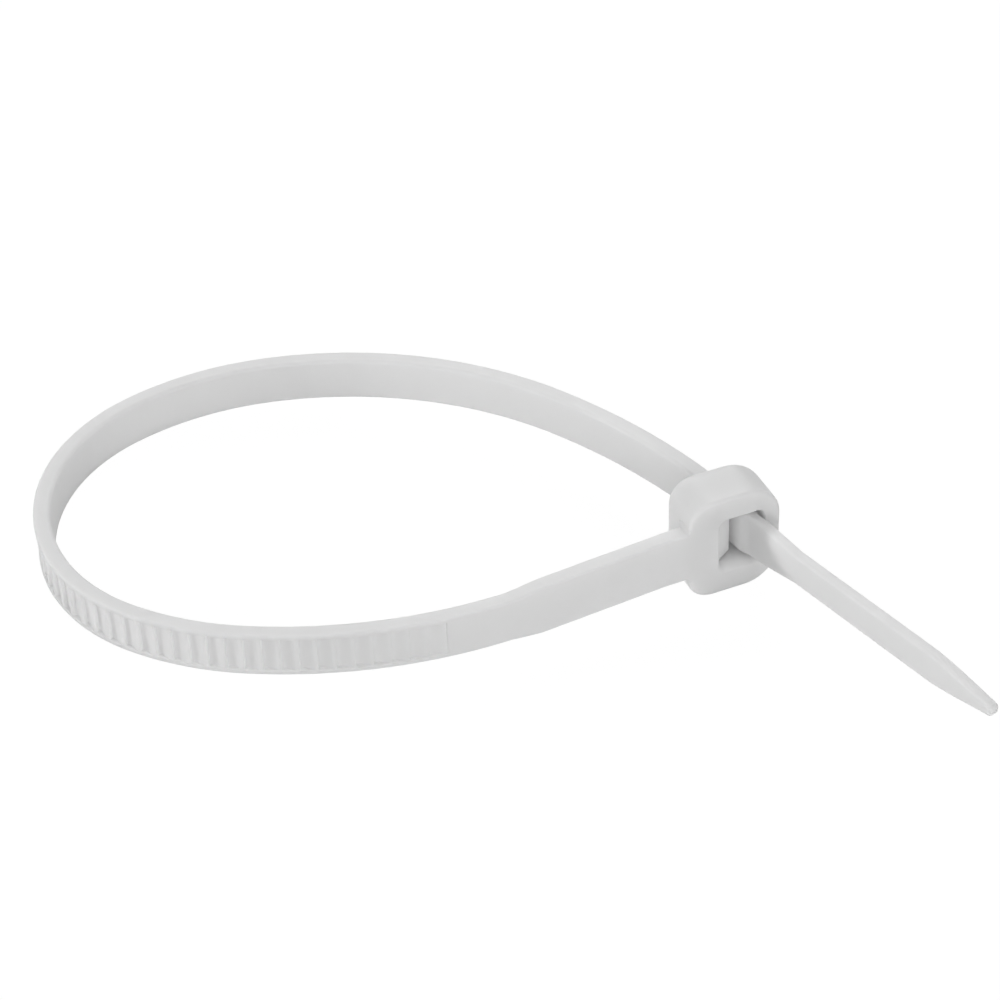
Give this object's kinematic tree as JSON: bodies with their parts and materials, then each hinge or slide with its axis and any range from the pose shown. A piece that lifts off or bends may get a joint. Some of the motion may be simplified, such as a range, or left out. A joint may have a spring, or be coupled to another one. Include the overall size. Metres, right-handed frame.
{
  "type": "cable tie",
  "caption": "Self-locking nylon cable tie closed into a loose teardrop loop, with a ratchet head and a straight pointed tail.",
  "frame": {"origin": "centre of the loop's round far end, at the middle of the strap's width", "axes": "+Z across the strap, straight up as the tie lies on its side; +X from the round far end towards the head"},
  "size_m": [0.0673, 0.0411, 0.0086],
  "materials": {
    "nylon": "natural uncoloured nylon, moulded, semi-matt and slightly translucent"
  },
  "bodies": {
    "root": {"cable_tie": "nylon"}
  },
  "joints": []
}
